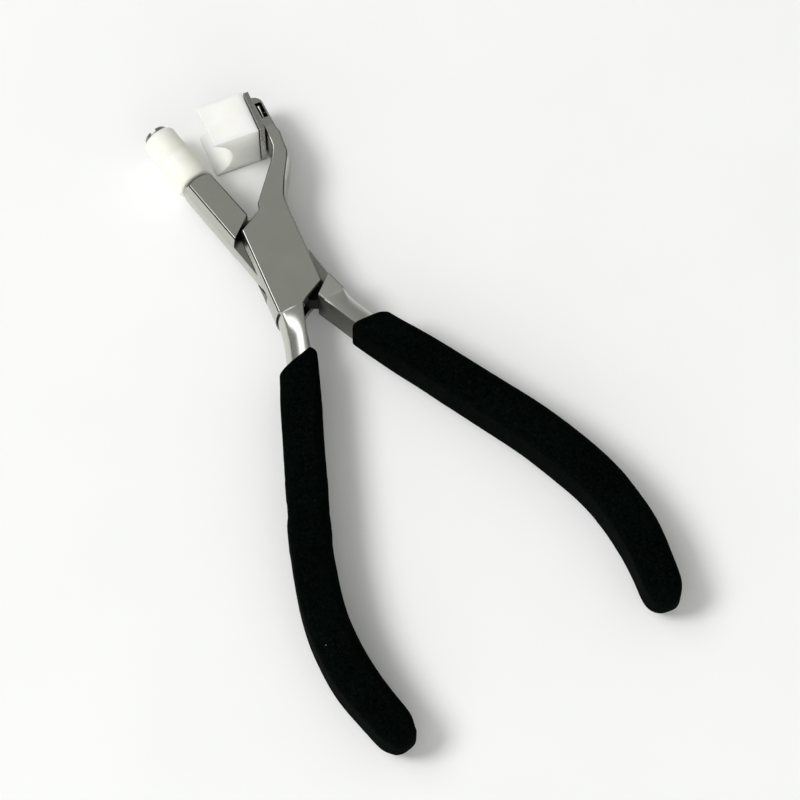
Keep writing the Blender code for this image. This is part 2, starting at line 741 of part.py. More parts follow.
def make_locating_pins(frame):
    """Two pins from the block through the plate into the jaw."""
    start = block_back() - LOCATING_PIN_DEPTH
    end = JAW_FACE + LOCATING_PIN_GRIP
    rows = [(LOCATING_PIN_RADIUS, start), (LOCATING_PIN_RADIUS, end)]
    for name, height in locating_pin_heights():
        axis_start = (0, locating_pin_place(), height)
        mesh = turned_mesh(name, rows, Vector((1, 0, 0)), axis_start, SMALL_ROUND_COUNT)
        place(name, mesh, frame, STEEL)


def grip_swell(share):
    """The grip's size along its length, as a share of its nominal section."""
    for (start, low), (end, high) in zip(GRIP_SWELL_SHARES, GRIP_SWELL_SHARES[1:]):
        if share <= end:
            blend = (share - start) / (end - start)
            return low + (high - low) * blend * blend * (3 - 2 * blend)
    return GRIP_SWELL_SHARES[-1][1]


def grip_rings():
    """Distances from the grip's start and section scales, with a round end."""
    body_end = GRIP_LENGTH - GRIP_END_RADIUS
    rings = [(distance, 1.0) for distance in evenly(0, body_end, SWEEP_COUNT)[:-1]]
    for angle in evenly(0, GRIP_CAP_ANGLE, CORNER_STEPS + 1):
        turn = math.radians(angle)
        rings.append((body_end + GRIP_END_RADIUS * math.sin(turn), math.cos(turn) ** GRIP_END_FULLNESS))
    return [(distance, scale * grip_swell(distance / GRIP_LENGTH)) for distance, scale in rings]


def make_grip(name, frame, side):
    """A soft sleeve pulled over the tang, closed at its end and cut square at its mouth."""
    length = line_length(handle_line())
    start = length - GRIP_LENGTH
    rings = grip_rings()
    path = handle_points(side, [start + distance for distance, _ in rings])
    scales = [scale for _, scale in rings]
    grip = place(name, sweep_mesh(name, path, grip_section(side), scales), frame, RUBBER)
    slant = math.radians(side * GRIP_MOUTH_SLANT)
    centre = (GRIP_MOUTH * math.sin(slant), GRIP_MOUTH * (math.cos(slant) - 1), 0)
    waste = box_mesh(name + " mouth", [2 * GRIP_MOUTH] * 3, centre, -side * GRIP_MOUTH_SLANT)
    combine(grip, "DIFFERENCE", place_cutter(name + " mouth", waste, frame))
    bore_end = length - TANG_SHORTFALL + FIT_GAP
    bore_path = handle_points(side, evenly(start - OVERRUN, bore_end, SWEEP_COUNT))
    bore = sweep_mesh(name + " bore", bore_path, tang_section(side, FIT_GAP))
    combine(grip, "DIFFERENCE", place_cutter(name + " bore", bore, frame))
    return grip


clear_scene()
MODEL = make_collection("optical_pliers")
CUTTERS = make_collection("cutters")
STEEL = make_material("satin steel", (0.56, 0.55, 0.52), 1.0, 0.35)
NYLON = make_material("ivory nylon", (0.86, 0.86, 0.76), 0.0, 0.45)
RUBBER = make_material("black sleeve", (0.012, 0.012, 0.013), 0.0, 0.9)

box_frame = make_frame("box half pivot", -OPEN_HALF_ANGLE)
tongue_frame = make_frame("tongue half pivot", OPEN_HALF_ANGLE)

make_box_half(box_frame)
make_tongue_half(tongue_frame)
make_pivot_pin(box_frame)
make_roller(tongue_frame)
make_roller_screw(tongue_frame)
make_plate(box_frame)
make_block(box_frame)
make_block_screw(box_frame)
make_block_nut(box_frame)
make_locating_pins(box_frame)
make_grip("left_grip", box_frame, -1)
make_grip("right_grip", tongue_frame, 1)
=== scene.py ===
# %% [markdown]
# Optical pliers with a nylon roller and a nylon block, dressed for rendering. The solids of the
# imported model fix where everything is. Each cell below looks at one piece or one finish of the
# real tool, says how it could be made in Blender, and then makes it the chosen way.
# Sizes are in metres, +Y points at the jaws, +Z points up, and the pivot is at the origin. Each
# half stands 6.7 degrees away from its closed place.

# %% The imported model
import math

import bmesh
import bpy
from mathutils import Matrix, Vector


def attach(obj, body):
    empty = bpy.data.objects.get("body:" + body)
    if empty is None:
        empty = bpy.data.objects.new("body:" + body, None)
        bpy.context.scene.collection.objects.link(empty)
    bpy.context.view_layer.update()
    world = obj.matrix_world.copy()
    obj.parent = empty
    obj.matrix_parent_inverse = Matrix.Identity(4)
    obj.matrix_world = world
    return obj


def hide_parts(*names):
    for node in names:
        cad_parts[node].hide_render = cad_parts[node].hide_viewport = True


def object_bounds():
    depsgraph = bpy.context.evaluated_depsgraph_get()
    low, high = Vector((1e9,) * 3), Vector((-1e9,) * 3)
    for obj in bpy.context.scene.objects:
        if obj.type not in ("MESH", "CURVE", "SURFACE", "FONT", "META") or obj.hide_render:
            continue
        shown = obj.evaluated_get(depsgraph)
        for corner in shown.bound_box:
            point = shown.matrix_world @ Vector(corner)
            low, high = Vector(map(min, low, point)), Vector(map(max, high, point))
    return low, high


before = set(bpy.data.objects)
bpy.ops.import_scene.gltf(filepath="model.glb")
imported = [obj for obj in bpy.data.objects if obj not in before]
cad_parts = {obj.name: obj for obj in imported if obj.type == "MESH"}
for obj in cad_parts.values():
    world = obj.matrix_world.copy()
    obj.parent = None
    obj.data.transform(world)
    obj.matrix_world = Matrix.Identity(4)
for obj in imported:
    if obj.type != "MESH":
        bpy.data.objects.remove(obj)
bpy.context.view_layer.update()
MM = 0.001
HALF_OPEN_DEG = 6.7
print("nodes:", sorted(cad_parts))

# %% [markdown]
# The camera looks down at 63.5 degrees from a little to the right of the tool's own length, from
# 60 cm away, with a long lens. It was found by matching the pivot, the two jaws and the ends of
# both handles. A camera could be aimed with a Track To constraint, but a matrix made of its three
# directions says the same with nothing left to evaluate. One pixel of the frame is 1/3200 of the
# distance wide, and the pivot stands at the pixel that the photograph shows it at.

# %% The camera
ELEVATION = math.radians(63.5)
AZIMUTH = math.radians(-29.2)
DISTANCE = 601.5 * MM
PIXEL = 1 / 3200
FRAME = 800
PIVOT_PIXEL = (283.16, 252.39)
SENSOR = 36

toward = Vector((
    -math.sin(AZIMUTH) * math.cos(ELEVATION),
    math.cos(AZIMUTH) * math.cos(ELEVATION),
    -math.sin(ELEVATION),
))
right = Vector((math.cos(AZIMUTH), math.sin(AZIMUTH), 0))
up = right.cross(toward)
pivot_across = (PIVOT_PIXEL[0] - FRAME / 2) * PIXEL * DISTANCE
pivot_up = (FRAME / 2 - PIVOT_PIXEL[1]) * PIXEL * DISTANCE
eye = -(toward * DISTANCE + right * pivot_across + up * pivot_up)

camera_data = bpy.data.cameras.new("photo_camera")
camera_data.sensor_width = SENSOR
camera_data.lens = SENSOR / (FRAME * PIXEL)
camera_data.clip_start = 10 * MM
camera = bpy.data.objects.new("photo_camera", camera_data)
turn = Matrix((right, up, -toward)).transposed().to_4x4()
camera.matrix_world = Matrix.Translation(eye) @ turn
bpy.context.scene.collection.objects.link(camera)
bpy.context.scene.camera = camera
bpy.context.scene.view_settings.view_transform = "Standard"
print("lens", round(camera_data.lens, 1), "mm, eye at", [round(value, 4) for value in eye])

# %% [markdown]
# Every finish here is a small node tree, so a few helpers keep the cells short: one adds a node
# and fills in its sockets, one starts a material and hands back its shader, and the others each
# stand for a step that comes back often. All patterns read Object coordinates, which stay with a
# piece when its half of the pliers turns.

# %% Node helpers
def add_node(tree, kind, sockets=None, **settings):
    node = tree.nodes.new(kind)
    for name, value in settings.items():
        setattr(node, name, value)
    for name, value in (sockets or {}).items():
        if isinstance(value, bpy.types.NodeSocket):
            tree.links.new(value, node.inputs[name])
        else:
            node.inputs[name].default_value = value
    return node


def new_finish(name):
    material = bpy.data.materials.new(name)
    material.use_nodes = True
    tree = material.node_tree
    return material, tree, tree.nodes["Principled BSDF"]


def object_place(tree, stretch=(1, 1, 1), turn_deg=0):
    """Object coordinates, turned about Z and stretched, for a pattern to read."""
    source = add_node(tree, "ShaderNodeTexCoord")
    turned_by = (0, 0, math.radians(turn_deg))
    sockets = {"Vector": source.outputs["Object"], "Rotation": turned_by, "Scale": stretch}
    return add_node(tree, "ShaderNodeMapping", sockets).outputs["Vector"]


def combined(tree, operation, first, second):
    """Two values taken together by a Math node."""
    node = add_node(tree, "ShaderNodeMath", operation=operation)
    tree.links.new(first, node.inputs[0])
    tree.links.new(second, node.inputs[1])
    return node.outputs["Value"]


def against(tree, operation, place, fixed):
    """A place's distance from, or its dot product with, one fixed vector."""
    node = add_node(tree, "ShaderNodeVectorMath", operation=operation)
    tree.links.new(place, node.inputs[0])
    node.inputs[1].default_value = fixed
    return node.outputs["Value"]


def noise(tree, place, size, detail=3.0, roughness=0.5):
    """Noise whose lumps are about the given size in metres."""
    sockets = {"Vector": place, "Scale": 1 / size, "Detail": detail, "Roughness": roughness}
    return add_node(tree, "ShaderNodeTexNoise", sockets).outputs["Fac"]


def ramp(tree, value, low, high, from_low=0.35, from_high=0.65):
    """Spreads a pattern's middle over a range of numbers."""
    sockets = {"Value": value, "From Min": from_low, "From Max": from_high,
               "To Min": low, "To Max": high}
    return add_node(tree, "ShaderNodeMapRange", sockets).outputs["Result"]


def shades(tree, value, stops):
    """A colour for each place on a pattern: (position, colour) stops."""
    node = add_node(tree, "ShaderNodeValToRGB", {"Fac": value})
    points = node.color_ramp.elements
    while len(points) < len(stops):
        points.new(0.5)
    for point, (position, colour) in zip(points, stops):
        point.position = position
        point.color = (*colour, 1)
    return node.outputs["Color"]


def bumps(tree, height, depth, under=None):
    """Raises a surface by a pattern, to a depth in metres, over another bump if there is one."""
    sockets = {"Height": height, "Distance": depth, "Strength": 1.0}
    if under is not None:
        sockets["Normal"] = under
    return add_node(tree, "ShaderNodeBump", sockets).outputs["Normal"]


def blend_colours(tree, amount, first, second, mode="MIX"):
    """Two colours, each a socket or fixed, mixed by an amount in one of the blend modes."""
    node = add_node(tree, "ShaderNodeMix", data_type="RGBA", blend_type=mode)
    for socket, value in (("Factor_Float", amount), ("A_Color", first), ("B_Color", second)):
        target = next(item for item in node.inputs if item.identifier == socket)
        if isinstance(value, bpy.types.NodeSocket):
            tree.links.new(value, target)
        else:
            target.default_value = value if socket == "Factor_Float" else (*value, 1)
    return next(item for item in node.outputs if item.identifier == "Result_Color")


print("node helpers ready")

# %% [markdown]
# The forged halves are stainless steel with a satin finish: a belt has left very fine lines along
# the tool, and polishing has softened them, so the level faces look almost even. Anisotropic
# shading could fake the lines from far away, but close up real lines show. So two stretched
# noises make them, and they move the roughness, the colour and a shallow bump by small amounts.
# Where two faces nearly meet, and inside the joint's slot, hardly any light gets in, so two Ambient
# Occlusion nodes paint shade there, taking the colour down to nearly black. The joint's two open
# corners are too wide for that, so there the distance from a point paints the same shade. More
# painted shade darkens some faces as a whole, by a number stored on each face. A Bevel node rolls
# the reflections over the edges, on top of the shape's own chamfers.

# %% Satin steel
def crevice_shade(tree, reach, inner_reach, floor):
    """Painted shade: nearly black where another surface is within reach, or well inside the piece's
    own shape.
    """
    near = add_node(tree, "ShaderNodeAmbientOcclusion", {"Distance": reach}, samples=8)
    own = add_node(tree, "ShaderNodeAmbientOcclusion", {"Distance": inner_reach}, samples=8,
                   only_local=True)
    gap = shades(tree, near.outputs["AO"], ((0.25, (floor, floor, floor)), (0.62, (1.0, 1.0, 1.0))))
    hollow = shades(tree, own.outputs["AO"], ((0.38, (floor, floor, floor)), (0.78, (1.0, 1.0, 1.0))))
    return blend_colours(tree, 1.0, gap, hollow, "MULTIPLY")


# Painted shade at the joint's open corners: each gap's middle, how far it is black all through and
# where that has faded out, in mm.
SHADED_GAP_SPOTS = (((0.9, -9.2, -4.2), 2.5, 4.1), ((-4.75, 8.6, -3.2), 1.5, 2.4))


def painted_gap_shade(tree):
    """Painted shade: 1 near the joint's two open corners and below its upper face, 0 elsewhere."""
    place = object_place(tree)
    height = add_node(tree, "ShaderNodeSeparateXYZ", {"Vector": place}).outputs["Z"]
    spots = []
    for centre, full, none in SHADED_GAP_SPOTS:
        far = against(tree, "DISTANCE", place, [value * MM for value in centre])
        spots.append(ramp(tree, far, 1.0, 0.0, full * MM, none * MM))
    below = ramp(tree, height, 0.97, 0.0, -0.5 * MM, -0.3 * MM)
    return combined(tree, "MULTIPLY", combined(tree, "MAXIMUM", *spots), below)


STEEL = (0.600, 0.600, 0.550)
BELT_STRETCH = (1, 0.06, 1)
ROLL = 0.05 * MM


def satin_steel(name, turn_deg, tint=1.0, rough=0.22, matt_from=None, reach=(1.1, 5.0)):
    """Belt-finished steel. Matt_from is the y where ground steel begins, reach the two reaches
    of the painted crevice shade in mm."""
    material, tree, shader = new_finish(name)
    along = object_place(tree, BELT_STRETCH, turn_deg)
    fine = noise(tree, along, 0.05 * MM, 3, 0.6)
    wide = noise(tree, along, 0.3 * MM, 3, 0.55)
    cloud = noise(tree, object_place(tree), 6 * MM, 2, 0.5)
    base = [part * tint for part in STEEL]
    light = shades(tree, fine, ((0.3, [0.965 * part for part in base]),
                                (0.7, [1.03 * part for part in base])))
    dull = shades(tree, cloud, ((0.3, (0.95, 0.95, 0.945)), (0.7, (1.0, 1.0, 1.0))))
    colour = blend_colours(tree, 1.0, light, dull, "MULTIPLY")
    # painted shade: the colour goes nearly black in crevices and inside the slot
    dark = crevice_shade(tree, reach[0] * MM, reach[1] * MM, 0.008)
    steel = blend_colours(tree, 1.0, colour, dark, "MULTIPLY")
    # painted shade: near black near the joint's two open corners, below its upper face
    steel = blend_colours(tree, painted_gap_shade(tree), steel, (0.003, 0.003, 0.003))
    # painted shade: faces darkened by the number stored on each face
    painted_shade_amount = add_node(tree, "ShaderNodeAttribute", attribute_name="painted_face_shade").outputs["Fac"]
    tree.links.new(blend_colours(tree, painted_shade_amount, steel, (0.002, 0.002, 0.002)),
                   shader.inputs["Base Color"])
    shader.inputs["Metallic"].default_value = 1.0
    level = combined(tree, "ADD", ramp(tree, wide, rough - 0.015, rough + 0.02),
                     ramp(tree, cloud, -0.012, 0.015))
    if matt_from is not None:
        own_place = object_place(tree, turn_deg=turn_deg)
        depth = add_node(tree, "ShaderNodeSeparateXYZ", {"Vector": own_place}).outputs["Y"]
        ground = ramp(tree, depth, 0.20, 0.0, matt_from - 0.7 * MM, matt_from + 0.7 * MM)
        level = combined(tree, "ADD", level, ground)
    tree.links.new(level, shader.inputs["Roughness"])
    rolled = add_node(tree, "ShaderNodeBevel", {"Radius": ROLL}, samples=6).outputs["Normal"]
    under = bumps(tree, wide, 0.0006 * MM, rolled)
    tree.links.new(bumps(tree, fine, 0.0003 * MM, under), shader.inputs["Normal"])
    return material


box_steel = satin_steel("satin_steel_box", HALF_OPEN_DEG)
tongue_steel = satin_steel("satin_steel_tongue", -HALF_OPEN_DEG, matt_from=-7.5 * MM)
print("satin steel:", box_steel.name, tongue_steel.name)

# %% [markdown]
# The two forgings' shapes are right in the solids already, but their faces are loose triangles.
# Remodelling them would risk their fit in the joint. Instead a copy of each is merged and its
# flat areas are dissolved into whole faces. Small pieces get a tiny round on every hard edge. The
# forgings have ground chamfers instead, which stay flat, and only the long edges of their level
# faces are broken by one narrow facet. A Weighted Normal modifier keeps large faces flat, so that
# only true curves shade as curves.

# %% Edge rounding helper
SAME_SPOT = 0.004 * MM


def merged_copy(node):
    """A bmesh copy of a node's solid with its loose triangles joined."""
    shape = bmesh.new()
    shape.from_mesh(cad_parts[node].data)
    bmesh.ops.remove_doubles(shape, verts=shape.verts, dist=SAME_SPOT)
    bmesh.ops.dissolve_degenerate(shape, edges=shape.edges, dist=SAME_SPOT)
    bmesh.ops.dissolve_limit(shape, angle_limit=math.radians(0.6), verts=shape.verts,
                             edges=shape.edges)
    return shape


def only(kind, items):
    """The vertices, edges or faces among what an operator gave back."""
    return [item for item in items if isinstance(item, kind)]


def bevelled(shape, geom, offset, segments, offset_type="OFFSET", affect="EDGES", clamp=True):
    """The bevel operator with the settings that every piece here shares."""
    bmesh.ops.bevel(shape, geom=geom, offset=offset, offset_type=offset_type, segments=segments,
                    profile=0.5, affect=affect, clamp_overlap=clamp, material=-1)


def round_edges(shape, radius, segments, sharp_deg, shortest=0.0, kept_sharp=None):
    """Rounds each sharp edge that is long enough, unless both its ends are to be kept sharp."""
    sharp = [edge for edge in shape.edges
             if len(edge.link_faces) == 2 and edge.calc_face_angle() > math.radians(sharp_deg)
             and edge.calc_length() > shortest
             and not (kept_sharp and all(kept_sharp(v.co) for v in edge.verts))]
    bevelled(shape, sharp, radius, segments)
    return len(sharp)


def break_long_edges(shape, width):
    """One narrow facet along each long edge of a level face, which is what a stone leaves."""
    chosen = [edge for edge in shape.edges
              if len(edge.link_faces) == 2 and edge.calc_length() > 1.0 * MM and edge.is_convex
              and math.radians(26) < edge.calc_face_angle() < math.radians(62)
              and max(abs(face.normal.z) for face in edge.link_faces) > 0.95]
    bevelled(shape, chosen, width, 1, "WIDTH", clamp=False)
    return len(chosen)


def finish_piece(name, shape, body, material, stands_for, smooth_deg=35,
                 crease=None, painted_shade_of=None):
    """Turns a bmesh into a finished piece. Crease says which spots' edges stay sharp, and the last
    argument how much painted shade a face with a certain centre and normal gets."""
    mesh = bpy.data.meshes.new(name)
    shape.to_mesh(mesh)
    shape.free()
    if painted_shade_of is not None:
        # each face stores how much painted shade it gets
        painted_shades = mesh.attributes.new("painted_face_shade", "FLOAT", "FACE")
        for polygon in mesh.polygons:
            painted_shades.data[polygon.index].value = painted_shade_of(polygon.center, polygon.normal)
    mesh.shade_smooth()
    mesh.set_sharp_from_angle(angle=math.radians(smooth_deg))
    if crease is not None:
        for edge in mesh.edges:
            if all(crease(mesh.vertices[index].co) for index in edge.vertices):
                edge.use_edge_sharp = True
    mesh.materials.append(material)
    piece = bpy.data.objects.new(name, mesh)
    bpy.context.scene.collection.objects.link(piece)
    weigh = piece.modifiers.new("weigh", "WEIGHTED_NORMAL")
    weigh.mode = "FACE_AREA"
    weigh.keep_sharp = True
    bpy.context.view_layer.update()
    graph = bpy.context.evaluated_depsgraph_get()
    piece.data = bpy.data.meshes.new_from_object(piece.evaluated_get(graph), depsgraph=graph)
    piece.modifiers.clear()
    bpy.data.meshes.remove(mesh)
    piece.data.name = name
    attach(piece, body)
    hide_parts(*stands_for)
    print(name, "has", len(piece.data.polygons), "faces and rides on", body)


# %% [markdown]
# Each half was drawn closed, with its jaws along +Y, so a piece is made there and then turned by
# its half's share of the opening. Both handles follow one line, which was read off the tangs and
# the middles of the sleeves and is mirrored for the other half.

# %% Opening and the handles' line
OPENING = {"box_side": math.radians(-HALF_OPEN_DEG), "tongue_side": math.radians(HALF_OPEN_DEG)}
MID = -4.0 * MM


def opened(body):
    """From a half's own closed place, at mid thickness, to where it stands at rest."""
    return Matrix.Translation((0, 0, MID)) @ Matrix.Rotation(OPENING[body], 4, "Z")


HANDLE_POINTS = [
    (2.79, -11.569), (5.306, -21.461), (9.749, -34.615), (13.869, -46.978), (17.346, -57.758),
    (19.799, -69.23), (20.16, -77.735), (19.055, -86.241), (15.316, -98.9),
]


def curve_through(points, steps=24):
    """Points close together on a Catmull-Rom curve through a few wide ones."""
    knots = [Vector(point) for point in points]
    knots = [2 * knots[0] - knots[1]] + knots + [2 * knots[-1] - knots[-2]]
    line = []
    for before, start, end, after in zip(knots, knots[1:], knots[2:], knots[3:]):
        for step in range(steps):
            t = step / steps
            line.append(0.5 * (2 * start + (end - before) * t
                               + (2 * before - 5 * start + 4 * end - after) * t ** 2
                               + (3 * start - before - 3 * end + after) * t ** 3))
    return line + [knots[-2]]


def place_on(line, distance):
    """Point and direction at a distance along the line."""
    for start, end in zip(line, line[1:]):
        step = (end - start).length
        if distance <= step or end is line[-1]:
            way = (end - start) / step
            return start + way * distance, way
        distance -= step


handle_line = curve_through(HANDLE_POINTS)
handle_length = sum((b - a).length for a, b in zip(handle_line, handle_line[1:]))
print("handle line", round(handle_length, 1), "mm long")

# %% [markdown]
# The tangs are drawn out of the forgings by hammer and grinder, so they flow: a rectangular block
# turns into a D, flat on the inner side and bulged on the outer one. The solids show that change
# as a few long triangles, which reflect as creases. So each copy is cut off behind the joint with
# bisect_plane, and the open rim is extruded ring by ring along the handle. Every point keeps its
# share of the way round from corner to corner while its ring eases from the block to the D. The
# left tang's inner side leans back a little above the middle, as a forging's draft does.

# %% The tang's section
TANG_WIDE, TANG_HALF_HIGH = 4.8, 3.85
LEFT_DRAFT = 0.15
arc = [Vector((-TANG_WIDE / 2 + TANG_WIDE * math.sin(math.pi * step / 240),
               TANG_HALF_HIGH * math.cos(math.pi * step / 240))) for step in range(241)]
arc_length = sum((b - a).length for a, b in zip(arc, arc[1:]))


def tang_point(share, on_flat):
    """Across and above for a share of the way: round the bulge from the top, or up the flat."""
    if on_flat:
        return -TANG_WIDE / 2, TANG_HALF_HIGH * (2 * share - 1)
    point, _ = place_on(arc, min(share * arc_length, arc_length - 1e-6))
    return point.x, point.y


print("tang section", TANG_WIDE, "by", 2 * TANG_HALF_HIGH, "mm, bulge", round(arc_length, 2),
      "mm round")


# %% Drawing out a tang
def ring_of(edges):
    """The vertices of a closed loop of edges, in order."""
    left = list(edges)
    loop = list(left.pop(0).verts)
    while len(left) > 1:
        edge = next(item for item in left if loop[-1] in item.verts)
        left.remove(edge)
        loop.append(edge.other_vert(loop[-1]))
    return loop


def ring_targets(ring, side):
    """For each ring vertex in order: its start, and its place on the tang's section."""
    inner = min(side * v.co.x for v in ring)
    near = [i for i, v in enumerate(ring) if side * v.co.x < inner + 0.12 * MM]
    top = max(near, key=lambda i: ring[i].co.z)
    low = min(near, key=lambda i: ring[i].co.z)
    count = len(ring)
    step = 1 if (low - top) % count > (top - low) % count else -1
    targets = {}
    for start, end, on_flat in ((top, low, False), (low, top, True)):
        order = [start]
        while order[-1] != end:
            order.append((order[-1] + step) % count)
        lengths = [0.0]
        for i, j in zip(order, order[1:]):
            lengths.append(lengths[-1] + (ring[j].co - ring[i].co).length)
        for i, length in zip(order, lengths):
            across, above = tang_point(length / lengths[-1], on_flat)
            if side < 0 and above > 0:
                across += LEFT_DRAFT * above * ((TANG_WIDE / 2 - across) / TANG_WIDE) ** 3
            targets.setdefault(ring[i], (across, above))
    return targets


def draw_out(shape, cut, side, ease, bend, shoulder):
    """Cuts a half off at y = cut and extrudes its tang. Ease is the change's length in mm, a
    higher bend makes more of the change at its start, and a shoulder is the share made at once."""
    whole = shape.verts[:] + shape.edges[:] + shape.faces[:]
    found = bmesh.ops.bisect_plane(shape, geom=whole, dist=1e-8, plane_co=(0, cut * MM, 0),
                                   plane_no=(0, -1, 0), clear_outer=True)
    cut_verts = only(bmesh.types.BMVert, found["geom_cut"])
    bmesh.ops.remove_doubles(shape, verts=cut_verts, dist=0.03 * MM)
    rim = [edge for edge in shape.edges if edge.is_boundary]
    # Where the cut still meets the joint's slot, the slot's outline is closed off first.
    notch = [v for v in ring_of(rim) if abs(v.co.z) < 2.05 * MM and side * v.co.x < 2.5 * MM]
    if len(notch) > 5:
        inner = min(side * v.co.x for v in notch)
        lips = [v for v in notch if side * v.co.x < inner + 0.01 * MM]
        pair = (min(lips, key=lambda v: v.co.z), max(lips, key=lambda v: v.co.z))
        bridge = shape.edges.new(pair)
        slot = [edge for edge in rim if all(v in notch for v in edge.verts)]
        bmesh.ops.contextual_create(shape, geom=slot + [bridge])
        rim = [edge for edge in shape.edges if edge.is_boundary]
    for longest in (2.0, 1.0, 0.5):
        long_ones = [edge for edge in rim if edge.calc_length() > longest * MM]
        bmesh.ops.subdivide_edges(shape, edges=long_ones, cuts=1)
        rim = [edge for edge in shape.edges if edge.is_boundary]
    ring = ring_of(rim)
    targets = ring_targets(ring, side)
    starts = {v: v.co.copy() for v in ring}
    first = 0.0
    while place_on(handle_line, first)[0].y > cut:
        first += 0.02
    origin, _ = place_on(handle_line, first)
    close, wide = [0.35 * step for step in range(1, 41)], [14.0 + 2.0 * step for step in range(1, 37)]
    for distance in [0.06] + close + wide:
        point, way = place_on(handle_line, first + distance)
        out = Vector((-way.y, way.x))
        t = min(1.0, distance / ease)
        amount = shoulder + (1 - shoulder) * (1 - (1 - t) ** bend)
        made = bmesh.ops.extrude_edge_only(shape, edges=rim)
        fresh = only(bmesh.types.BMVert, made["geom"])
        link = {v: next(e.other_vert(v) for e in v.link_edges if e.other_vert(v) in starts)
                for v in fresh}
        for v in fresh:
            start, (across, above) = starts[link[v]], targets[link[v]]
            drawn = point + out * across
            kept = Vector((side * start.x / MM, start.y / MM)) + (point - origin)
            flat = kept.lerp(drawn, amount)
            height = start.z / MM * (1 - amount) + above * amount
            v.co = Vector((side * flat.x, flat.y, height)) * MM
        starts = {v: starts[link[v]] for v in fresh}
        targets = {v: targets[link[v]] for v in fresh}
        rim = only(bmesh.types.BMEdge, made["geom"])
    bmesh.ops.contextual_create(shape, geom=rim)
    bmesh.ops.recalc_face_normals(shape, faces=shape.faces)


# %% [markdown]
# Shade is painted on some faces of the forgings. The tangs' inner flats, the bar's end under the
# roller, the chamfers and the faces at the slot's level are darkened as painted shade, and the
# upright sides a little. A mask painted by hand would say the same, but a rule per face can be read.

# %% The two forged halves
INNER_FLAT_SHADE = {1: 0.60, -1: 0.95}
BAR_END, BAR_END_SHADE = 22.6, 0.97
CHAMFER_SHADE, SLOT_LEVEL_SHADE, SIDE_DARK = 0.8, 0.4, 0.16


def painted_face_shade(side, cut, back):
    """How much painted shade each face of a half gets, by its centre and normal."""
    def amount(centre, normal):
        own, away = back @ centre / MM, back.to_3x3() @ normal
        if own.y < -9.0 and side * away.x < -0.9:
            return INNER_FLAT_SHADE[side]
        if own.y < cut:
            return 0.0
        if side > 0 and own.y > BAR_END and away.y > 0.25:
            return BAR_END_SHADE
        if 0.6 < abs(away.z) < 0.8:
            return CHAMFER_SHADE
        if abs(away.z) > 0.9 and abs(own.z) < 2.5:
            return SLOT_LEVEL_SHADE
        return SIDE_DARK if abs(away.z) < 0.4 else 0.0
    return amount


# Node, body, finish, cut, side, ease, bend and shoulder, the last five as draw_out reads them.
FORGINGS = (
    ("box_half", "box_side", box_steel, -11.4, -1, 5.4, 1.4, 0.36),
    ("tongue_half", "tongue_side", tongue_steel, -12.7, 1, 3.2, 2.0, 0.12),
)
for node, body, steel, cut, side, ease, bend, shoulder in FORGINGS:
    forging = merged_copy(node)
    closed = opened(body).inverted()
    bmesh.ops.transform(forging, matrix=closed, verts=forging.verts)
    draw_out(forging, cut, side, ease, bend, shoulder)
    loose = sum(1 for edge in forging.edges if len(edge.link_faces) != 2)
    print(node, "open edges:", loose, "long edges broken:", break_long_edges(forging, 0.13 * MM))
    bmesh.ops.transform(forging, matrix=opened(body), verts=forging.verts)
    finish_piece(node + "_forging", forging, body, steel, [node], 20,
                 lambda spot: abs((closed @ spot).y - cut * MM) < 0.002 * MM,
                 painted_face_shade(side, cut, closed))

# %% [markdown]
# The roller and the block are ivory nylon, turned or milled from rod: matt, a little waxy, and
# light goes a short way in. Fine tool lines run around the roller and along the block. A wood or
# marble texture would give stronger lines than nylon has, so a noise stretched across the lines
# is used again, with a faint yellowing and a few grey scuffs where metal has rubbed it.

# %% Ivory nylon
def ivory_nylon(name, turn_deg, stretch, tint):
    material, tree, shader = new_finish(name)
    lines = noise(tree, object_place(tree, stretch, turn_deg), 0.14 * MM, 3, 0.55)
    cloud = noise(tree, object_place(tree), 3.5 * MM, 3, 0.5)
    rub = noise(tree, object_place(tree, (1, 0.3, 1), turn_deg + 25), 1.1 * MM, 5, 0.62)
    warm = tuple(a * b for a, b in zip((0.90, 0.895, 0.81), tint))
    pale = tuple(a * b for a, b in zip((0.935, 0.935, 0.895), tint))
    body = shades(tree, cloud, ((0.35, pale), (0.68, warm)))
    scuff = shades(tree, rub, ((0.66, (1.0, 1.0, 1.0)), (0.78, (0.86, 0.87, 0.86))))
    tree.links.new(blend_colours(tree, 1.0, body, scuff, "MULTIPLY"),
                   shader.inputs["Base Color"])
    tree.links.new(ramp(tree, lines, 0.36, 0.52), shader.inputs["Roughness"])
    shader.inputs["Subsurface Weight"].default_value = 0.85
    shader.inputs["Subsurface Radius"].default_value = (1.0, 0.98, 0.92)
    shader.inputs["Subsurface Scale"].default_value = 3.2 * MM
    under = bumps(tree, rub, 0.006 * MM)
    tree.links.new(bumps(tree, lines, 0.004 * MM, under), shader.inputs["Normal"])
    return material


roller_nylon = ivory_nylon("ivory_nylon_roller", -HALF_OPEN_DEG, (0.08, 1, 0.08), (0.89, 0.89, 0.85))
block_nylon = ivory_nylon("ivory_nylon_block", HALF_OPEN_DEG, (1, 0.08, 1), (1, 1, 1))
print("nylon:", roller_nylon.name, block_nylon.name)

# %% [markdown]
# The roller is a turned part, so it is spun. A few vertices along its outline, from the bore at
# one end round to the bore at the other, are joined by edges and taken once round the axis with
# bmesh's spin. That gives true circles, where a scaled cylinder would need its step and rounded
# rims cut in later.

